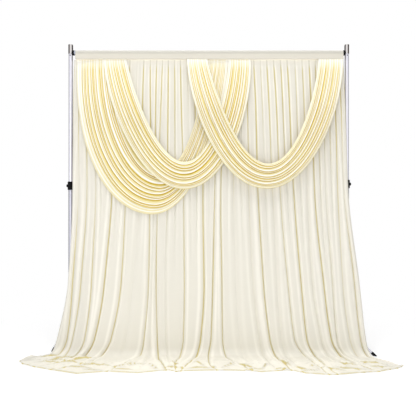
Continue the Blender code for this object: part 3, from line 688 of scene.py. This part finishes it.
def crease_forms(x, out):
    """Pinched ridges on the floor: their height, and how much of their front face shows."""
    raised, front = np.zeros_like(x), np.zeros_like(x)
    for start_x, start_out, end_x, end_out, height, width in CREASES:
        run_x, run_out = end_x - start_x, end_out - start_out
        long = np.hypot(run_x, run_out)
        from_x, from_out = x - start_x, out - start_out
        share = np.clip((from_x * run_x + from_out * run_out) / long ** 2, 0, 1)
        beyond = np.hypot(from_x - share * run_x, from_out - share * run_out)
        ahead = (from_out * run_x - from_x * run_out) / long * np.sign(run_x + 1e-9)
        ends = np.sin(np.pi * share) ** 0.5
        raised = np.maximum(raised, height * (ends * np.exp(-(beyond / width) ** 2)))
        side = (ahead / width - SHADE_AHEAD) / SHADE_SPREAD
        shade = ends * np.exp(-side ** 2) * (beyond < SHADE_STOPS * width)
        front = np.maximum(front, shade)
    return raised, front


def unevenness(across, along):
    """Between -1 and 1, slowly changing in both directions."""
    return sum(np.sin(2 * np.pi * (pitch * across + drift * along) + phase)
               for pitch, drift, phase in WAVES) / len(WAVES)


print(len(CREASES), "creases on the train")

# %% [markdown]
# Points are spent where the shape is sharp: each pleat gets its own set of columns,
# close together at its valleys, and the rows are closest from the turn at the floor to
# the hem. In every column the back of the cloth follows one path: down in front of the
# crossbar, round the arc, and out over the floor.

# %% The curtain's grid and path
PLEAT_STEPS = (0.0, 0.05, 0.12, 0.22, 0.36, 0.5, 0.64, 0.78, 0.88, 0.95)
HANGING_ROWS, LYING_ROWS, LYING_FROM = 100, 96, 2.36
PATH_DRIFT = 0.004

curtain_rows = np.concatenate([np.linspace(0.0, LYING_FROM, HANGING_ROWS),
                               np.linspace(LYING_FROM, HEM, LYING_ROWS + 1)[1:]])
curtain_columns = np.array([number + (pleat + step) / count
                            for number, count in enumerate(pleat_counts)
                            for pleat in range(count) for step in PLEAT_STEPS] + [len(FOLDS) - 1.0])


def curtain_path(rows, columns):
    """x, out and height of the cloth's back, its turn, and its share of the way to the hem."""
    across = {key: np.interp(columns, np.arange(len(FOLDS)), values)
              for key, values in folds.items()}
    down = rows[:, None]
    x = smooth_through(FOLD_STATIONS, [across[key] for key in STATION_KEYS], rows)
    inside = np.clip(np.minimum(columns, len(FOLDS) - 1 - columns), 0.0, 1.0)
    x = x + PATH_DRIFT * inside * unevenness(columns * 0.35, down * 1.1)
    turn = np.clip((down - BEND_START) / FLOOR_BEND, 0.0, math.pi / 2)
    lying = np.clip((down - BEND_END) / (HEM - BEND_END), 0.0, 1.0)
    out = curtain_out(rows, across["break_out"]) + FLOOR_BEND * (1 - np.cos(turn))
    out = out + lying * (across["reach"] - across["break_out"] - FLOOR_BEND)
    height = np.where(down < BEND_START, HEADER_Z - down, FLOOR_BEND * (1 - np.sin(turn)))
    return x, out, height, turn, lying


print("curtain grid:", len(curtain_rows), "rows and", len(curtain_columns), "columns")

# %% [markdown]
# The folds stand up from that path all the way. On the floor there are also low lumps,
# the creases, and fine crumples, which follow the lines where a slow wave crosses zero.
# The hem is turned under, so it ends in a thin roll.

# %% The curtain's relief
FOLD_SWAY = 0.12
LUMP, SMALL_LUMP = 0.0055, 0.003
CRUMPLE, CRUMPLE_WIDTH = 0.005, 0.06
LIFT = 0.0015
ROLL, ROLL_RISE, ROLL_FALL = 0.007, (HEM - 0.06, HEM - 0.016), (HEM - 0.01, HEM)


def thin_line(wave):
    """1 where a wave crosses zero, and 0 away from it."""
    return np.exp(-np.abs(wave) / CRUMPLE_WIDTH)


def curtain_relief(rows, columns, shape, x, out, turn, lying):
    """How far the cloth stands off its path, its crease fronts and its crumples."""
    ridges = smooth_through(RIDGE_STATIONS, RIDGE_HEIGHTS, rows)[:, None]
    sway = unevenness(columns * 0.5, rows[:, None] * 0.8)
    hanging = ridges * shape * ((1 - FOLD_SWAY) + FOLD_SWAY * sway)

    on_floor = np.sin(turn) ** 2
    raised, front = crease_forms(x, out)
    lumps = LUMP * unevenness(x * 3.1, out * 11.0) + SMALL_LUMP * unevenness(x * 8.3, out * 21.0)
    crumple = np.maximum(thin_line(unevenness(x * 2.6 + 3.0 * out, out * 9.0 - x)),
                         thin_line(unevenness(x * 5.1, out * 15.0 + 4.0 * x)))
    crumple = crumple * on_floor ** 2 * (1 - lying ** 6)
    lying_relief = (lumps * (1 - lying ** 4) + raised) * on_floor + CRUMPLE * crumple
    rolled = ease(rows, *ROLL_RISE) * (1 - ease(rows, *ROLL_FALL))
    relief = np.maximum(hanging + lying_relief, 0.0) + LIFT + ROLL * rolled[:, None]
    return relief, front * on_floor, crumple


print("relief of the folds:", RIDGE_HEIGHTS, "and of the lumps on the floor:", LUMP)

# %% [markdown]
# Valleys get painted shade below the value of open cloth, and glints a painted highlight
# above it. The contrast is strongest in the tight gathers under the band, and the upper
# cloth gets a little painted shade. On the floor, painted light from above lifts the value,
# most of all at the two far ends, while crease fronts, crumples and the stitched hem get
# painted shade. Close under the band a painted light lifts the band's shadow.

# %% Build the curtain
OPEN_SHADE = 0.52
SHAPE_SHARE, GLINT_SHARE = 0.56, 0.44
TOP_CONTRAST, WAIST_CONTRAST, FLOOR_CONTRAST = 1.5, 0.9, 1.05
TOP_SHADE, UNDER_BAND_LIGHT = 0.11, 0.4
FLOOR_LIFT, END_LIFT, END_X = 0.33, 0.62, (1.2, 1.34)
FRONT_SHADE, HEM_SHADE, CRUMPLE_SHADE = 1.05, 0.8, 0.45


def curtain_shade(rows, x, lying, shape, glint, front, crumple):
    down = rows[:, None]
    top = 1 - ease(down, 0.5 * CHEST, WAIST)
    # Painted valley shade and painted glints; the upper cloth gets a little painted shade.
    lines = SHAPE_SHARE * ease(shape, 0.05 + 0.12 * top, 0.5 + 0.18 * top) + GLINT_SHARE * glint
    contrast = (mixed(WAIST_CONTRAST, TOP_CONTRAST, top)
                + (FLOOR_CONTRAST - WAIST_CONTRAST) * ease(down, SHIN, FLOOR))
    lines = mixed(OPEN_SHADE, lines, contrast) - TOP_SHADE * (1 - ease(down, 0.3, WAIST))
    # Painted light on the cloth lying on the floor, most of all at its far ends.
    soft = ease(lying, 0.0, 0.5)
    depth = np.maximum(lines + FLOOR_LIFT * soft * ease(lines, 0.0, 0.5),
                       END_LIFT * soft * ease(np.abs(x), *END_X))
    # Painted shade on crease fronts, the hem and crumples, and painted light close under the band that
    # lifts its shadow.
    depth = (depth - FRONT_SHADE * front - HEM_SHADE * ease(down, HEM - 0.012, HEM - 0.004)
             - CRUMPLE_SHADE * crumple ** 2 * ease(lying, 0.0, 0.3)
             + UNDER_BAND_LIGHT * (1 - ease(down, 0.01, 0.1)))
    return np.clip(depth, 0.0, 1.0)


def curtain_points(rows, columns):
    """The curtain's grid of points and their stored depth."""
    x, out, height, turn, lying = curtain_path(rows, columns)
    shape, glint = fold_shape(columns, rows)
    relief, front, crumple = curtain_relief(rows, columns, shape, x, out, turn, lying)
    points = np.stack([x, ROD_Y - out - relief * np.cos(turn), height + relief * np.sin(turn)],
                      axis=2)
    return points, curtain_shade(rows, x, lying, shape, glint, front, crumple)


curtain = cloth_piece("curtain", *curtain_points(curtain_rows, curtain_columns), CURTAIN_CLOTH)
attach(curtain, "root")
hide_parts("curtain_panel")

# %% [markdown]
# ## The swags
# A swag is a strip gathered at both ends and sewn under the band. Its outer edge is longer
# than its inner one, so it hangs as a crescent of pleats. One section swept along a curve
# would be as wide at the band as at the bottom, so each swag is a grid too. An edge that
# hangs freely is close to a parabola, a fuller one nearer to an ellipse, and one number
# between the two draws each side. Most pleats split in two on the way up.

# %% The swags' tables
# The last column holds relative widths of the pleats, from the outer edge to the inner one.
SWAG_COLUMNS = ("name", "outer_left", "inner_left", "inner_right", "outer_right",
                "outer_low_x", "outer_low_z", "inner_low_x", "inner_low_z",
                "full_left", "full_right", "pleats")
SWAGS = (
    ("swag_left_lower", -1.145, -0.8, -0.012, 0.167,
     -0.482, 1.199, -0.37, 1.6, 2.4, 1.5,
     (1.9, 0.8, 1.2, 0.7, 1.1, 0.7, 1.2, 0.8, 1.3, 0.7, 1.1, 0.9, 1.0)),
    ("swag_left_upper", -0.911, -0.713, 0.17, 0.364,
     -0.212, 1.414, -0.205, 1.646, 1.6, 1.65,
     (1.0, 0.6, 1.1, 0.7, 1.2, 0.8, 1.1, 0.7, 1.1)),
    ("swag_right", -0.188, -0.012, 0.95, 1.16,
     0.49, 1.418, 0.505, 1.628, 1.6, 1.6,
     (1.1, 0.6, 0.8, 1.1, 0.7, 1.2, 0.8, 1.1, 0.7, 1.1)),
)
print("swags:", [row[0] for row in SWAGS])

# %% [markdown]
# Swags hang in layers, each in front of the curtain and of the swag behind it. So the
# depth of a layer is worked out from what is behind it, at every height.

# %% The depth of a layer
SWAG_CLEAR, CURTAIN_CLEAR = 0.003, 0.0025
SWAG_FULL_Z = 2.1
HEADER_PLEAT, FULL_PLEAT = 0.004, 0.017
HEADER_LAYER, FULL_LAYER = 0.0085, 0.023


def filled_out(length, at_header, when_full):
    """A size that grows from the header down to where the swags are full."""
    return mixed(at_header, when_full, np.clip(length / (HEADER_Z - SWAG_FULL_Z), 0.0, 1.0))


def swag_back(layer, height):
    length = HEADER_Z - height.ravel()
    curtain_front = (curtain_out(length, folds["break_out"].max()) + CURTAIN_CLEAR
                     + smooth_through(RIDGE_STATIONS, RIDGE_HEIGHTS, length))
    layer_depth = filled_out(length, HEADER_LAYER, FULL_LAYER)
    return (curtain_front + SWAG_CLEAR + layer * layer_depth).reshape(height.shape)


print("swag backs at z 1.6:", [swag_back(k, np.array([1.6])).round(3)[0] for k in range(3)])

# %% [markdown]
# Across one pleat the cloth climbs slowly from its inner side, crests, and tucks under
# sharply at its outer side, because its own weight pulls the crest down and out. That
# lean gives a swag its rows of bright edges over golden shadows. The stored shade value
# paints the same lines: about 0.6 on the open side of a pleat, a painted highlight of 1 on
# its crest, and painted shade of 0 in the tuck.

# %% Across one pleat
# All places and widths here are shares of the pleat, from its outer tuck to its inner one.
CREST, CREST_WIDTH, CREST_LIGHT = 0.24, 0.1, 0.7
SPLIT, SPLIT_CREST = 0.6, 0.74
SPLIT_WIDTH, SPLIT_CREST_WIDTH, SPLIT_SHARE, SPLIT_CUT = 0.08, 0.07, 0.9, 0.6
TUCK_WIDTH, INNER_TUCK_WIDTH, TUCK_SHADE = 0.15, 0.12, 0.8
INWARD_SHADE, FINE_LINES = 0.2, 0.1


def beside(part, line, width):
    """1 on a line across the pleat, and 0 away from it."""
    return np.exp(-(np.abs(part - line) / width) ** 1.4)


def pleat_profile(part, split):
    """Across one pleat from its outer valley to its inner one: 0, up to 1, and 0."""
    bent = np.where(part < CREST, 0.5 * part / CREST, 0.5 + 0.5 * (part - CREST) / (1 - CREST))
    return np.sin(np.pi * bent) ** 0.75 * (1 - SPLIT_CUT * split * beside(part, SPLIT, SPLIT_WIDTH))


def pleat_lines(part, split, ground):
    """The painted shade value: ground on the open side, highlight 1 on crests, shade 0 in tucks."""
    split = SPLIT_SHARE * split
    crest = beside(part, CREST, CREST_WIDTH) + split * beside(part, SPLIT_CREST, SPLIT_CREST_WIDTH)
    tuck = (beside(part, 0.0, TUCK_WIDTH) + beside(part, 1.0, INNER_TUCK_WIDTH)
            + split * beside(part, SPLIT, SPLIT_WIDTH))
    # Fine painted lines of shade and highlight across the pleat.
    fine = FINE_LINES * np.sin(6 * np.pi * part + 9.0 * ground)
    return np.clip(ground - INWARD_SHADE * part + CREST_LIGHT * crest - TUCK_SHADE * tuck + fine,
                   0.0, 1.0)


print("a pleat from tuck to tuck:", pleat_profile(np.linspace(0, 1, 5), 0.0).round(2))

# %% [markdown]
# Along the strip, `angle` goes from its left end to its right end, and `drop` is 0 at
# both and 1 at the lowest point. Each column is one line across the pleats, and `inward`
# says how far it lies from the outer edge to the inner one.

# %% The run of a swag
SWAG_STEPS = (0.0, 0.02, 0.05, 0.09, 0.13, 0.17, 0.21, 0.25, 0.3, 0.36, 0.43, 0.5,
              0.55, 0.6, 0.65, 0.7, 0.76, 0.83, 0.9, 0.96)
SWAG_ROWS = 170
WANDER = 0.22
INNER_ROUNDNESS = 0.75


def pleat_columns(widths, angle):
    """Each column's pleat and its place across it, and how far inward it lies."""
    count = len(widths)
    number = np.append(np.repeat(np.arange(count), len(SWAG_STEPS)), count - 1)
    part = np.append(np.tile(SWAG_STEPS, count), 1.0)

    # The pleats' edges wander a little along the strip, but its own two edges don't.
    wander = WANDER / count * np.sin(2.1 * angle + 2.4 * np.arange(count + 1))
    wander[:, [0, -1]] = 0.0
    edges = np.append(0.0, np.cumsum(widths)) / widths.sum() + wander * np.cos(angle) ** 0.3
    start, end = edges[:, number], edges[:, number + 1]
    return number, part, mixed(start, end, part)


def swag_run(swag, angle, inward):
    """x, height and drop of the strip's back."""
    def between(edge):
        return mixed(swag[f"outer_{edge}"], swag[f"inner_{edge}"], inward)

    drop = np.cos(angle) * np.ones_like(inward)
    full = np.where(angle < 0.0, swag["full_left"], swag["full_right"])
    full = full * (1 - (1 - INNER_ROUNDNESS) * inward)
    middle = (between("left") + between("right")) / 2
    half = (between("right") - between("left")) / 2
    x = (mixed(middle, between("low_x"), drop)
         + np.sign(angle) * half * np.sqrt(np.maximum(1 - drop ** full, 0.0)))
    return x, mixed(HEADER_Z, between("low_z"), drop), drop


print("each swag has", SWAG_ROWS, "rows and", len(SWAG_STEPS), "columns a pleat")

# %% [markdown]
# The first pleat is a pale band with shallow fine folds in it, whose shade is painted in
# thin lines, and the last one ends in a pale hem. Under the header all is drawn together:
# the pleats are lower there, and their shade values closer to one pale value. Close under
# the band a painted light lifts the band's shadow.

# %% Build the swags
GATHERED = (0.01, 0.11)
GATHERED_SHARE, GATHERED_SHADE = 0.25, 0.86
FIRST_PLEAT, LAST_PLEAT = 0.55, 0.75
EDGE_WIDTH, EDGE_SHARE, EDGE_LIFT = 0.012, 0.6, 0.002
GROUND, OUTER_LIGHT, PLEAT_DIFFERS, LOW_SHADE = 0.62, 0.08, 0.17, 0.1
PALE_SHADE, PALE_SHARE, THIN_HEIGHT = 0.92, 0.9, 0.0015


def split_share(number, drop):
    """How far each pleat has split in two, some of them lower down than others."""
    split = 1 - ease(drop, 0.62 + 0.18 * np.sin(number * 2.7), 0.95 + 0.05 * np.sin(number * 1.9))
    return split * np.clip(0.4 + 0.6 * np.sin(number * 1.7 + 1.0), 0.0, 1.0)


def swag_points(swag, layer):
    """A swag's grid of points and their stored depth."""
    angle = np.linspace(-math.pi / 2, math.pi / 2, SWAG_ROWS)[:, None]
    number, part, inward = pleat_columns(np.array(swag["pleats"]), angle)
    x, height, drop = swag_run(swag, angle, inward)
    length = HEADER_Z - height
    opened = ease(length, *GATHERED)
    split = split_share(number, drop)
    first, last = number == 0, number == number[-1]
    pale = np.where(first, ease(part, 0.0, 0.05) * (1 - ease(part, 0.82, 0.97)), 0.0)
    pale = np.maximum(pale, np.where(last, ease(part, 0.45, 0.6), 0.0))
    thin = np.sin(3 * np.pi * part) ** 2

    size = np.where(first, FIRST_PLEAT, 1.0) * np.where(last, LAST_PLEAT, 1.0)
    size = size * filled_out(length, HEADER_PLEAT, FULL_PLEAT)
    profile = GATHERED_SHARE + (1 - GATHERED_SHARE) * pleat_profile(part, split) * opened
    at_edge = np.minimum(inward, 1 - inward) < EDGE_WIDTH
    wave = np.where(at_edge, size * profile * EDGE_SHARE + EDGE_LIFT, size * profile)
    wave = wave - THIN_HEIGHT * pale * thin * opened

    # Painted light towards the outer edge, painted shade towards the bottom, and a tone that differs
    # from pleat to pleat.
    ground = GROUND + OUTER_LIGHT * (1 - inward)
    ground = ground + PLEAT_DIFFERS * np.sin(number * 2.4 + 1.0 + layer)
    lines = pleat_lines(part, split, ground - LOW_SHADE * drop)
    # Painted shade in thin lines for the pale band's fine folds, darker towards the bottom; the swag is
    # a little lighter towards its top.
    band = PALE_SHADE - 0.05 * drop ** 2 - (0.14 + 0.24 * drop) * thin
    depth = lines + (band - lines) * PALE_SHARE * pale + 0.02 * (1 - drop) ** 2
    depth = mixed(GATHERED_SHADE, depth, mixed(GATHERED_SHARE, 1, opened))
    # A painted light close under the band lifts its shadow.
    depth = depth + 0.03 * (1 - ease(length, 0.0, 0.05))
    return np.stack([x, ROD_Y - swag_back(layer, height) - wave, height], axis=2), depth


for layer, row in enumerate(SWAGS):
    swag = dict(zip(SWAG_COLUMNS, row))
    grid, depth = swag_points(swag, layer)
    piece = cloth_piece(f"{swag['name']}_cloth", grid, depth, SWAG_CLOTH, thickness=0.001)
    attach(piece, "root")
    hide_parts(swag["name"])

# %% [markdown]
# ## The header band
# The band is the pocket for the crossbar: one strip of the same cloth, folded over the bar
# and stitched along its foot. It is pulled tight and stays smooth, so one plain loop, round
# over the bar and upright in front, is repeated along it, with a faint ripple where the
# gathered cloth tugs at it.

# %% Build the header band
BAND_COLUMNS = 360
BAND_GAP, BAND_BACK, FOOT_GAP = 0.0012, 0.017, 0.0008
FRONT_STEPS, TURN_STEPS, BACK_STEPS, UNDER_STEPS = 11, 14, 9, 7
RIPPLE = 0.0006
BAND_FRONT_SHADE, UNDER_PAINTED_LIGHT = 0.67, 1.0
band_radius = ROD_RADIUS + BAND_GAP


def band_section():
    """The loop of cloth from the foot of its front, over the bar and back under it."""
    foot = band_low[2] + FOOT_GAP
    angle = np.linspace(0.0, math.pi, TURN_STEPS + 1)[:, None]
    front = np.linspace((-band_radius, foot), (-band_radius, ROD_Z), FRONT_STEPS + 1)[:-1]
    over = (0.0, ROD_Z) + band_radius * np.hstack([-np.cos(angle), np.sin(angle)])
    back = np.linspace((band_radius, ROD_Z), (BAND_BACK, foot), BACK_STEPS + 1)[1:]
    under = np.linspace((BAND_BACK, foot), (-band_radius, foot), UNDER_STEPS + 1)[1:-1]
    return np.concatenate([front, over, back, under, front[:1]])


section = band_section()
band_x = np.linspace(band_low[0], band_high[0], BAND_COLUMNS)
low_down = np.clip((ROD_Z - section[:, 1]) / (ROD_Z - band_low[2]), 0.0, 1.0)[:, None]
ripple = RIPPLE * np.sin(band_x * 61.0 + np.sin(band_x * 17.0) * 2.0)[None, :] * low_down
band_points = np.stack([np.tile(band_x, (len(section), 1)), ROD_Y + section[:, :1] + ripple,
                        np.tile(section[:, 1:], (1, BAND_COLUMNS))], axis=2)
# A mid value in front, and over the bar the darker valley colour: painted shade on the band's top.
band_shade = BAND_FRONT_SHADE * (1 - ease(section[:, 1:], ROD_Z - 0.02, ROD_Z + 0.01))
# The underside lies in shade, so it gets the palest colour: painted light that lifts that shade.
band_shade[-UNDER_STEPS:-1] = UNDER_PAINTED_LIGHT
band_shade = np.broadcast_to(band_shade, band_points.shape[:2])
band = cloth_piece("header_band", band_points[::-1], band_shade[::-1],
                   HEADER_CLOTH, thickness=0.0008)
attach(band, "root")
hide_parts("header_pocket")

# %% [markdown]
# ## The stand
# The tubes, heads, collars and feet are plain turned and moulded parts, and their solids
# already have the right shape. Each only gets its finish, by the first words of its name.

# %% Finish the stand
finished = []
for name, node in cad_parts.items():
    matching = [finish for starts, finish in stand_finishes.items() if name.startswith(starts)]
    if matching:
        for place in node.material_slots:
            place.material = matching[0]
        finished.append(name)
print("finished", len(finished), "of", len(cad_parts), "nodes; cloth replaces the others")
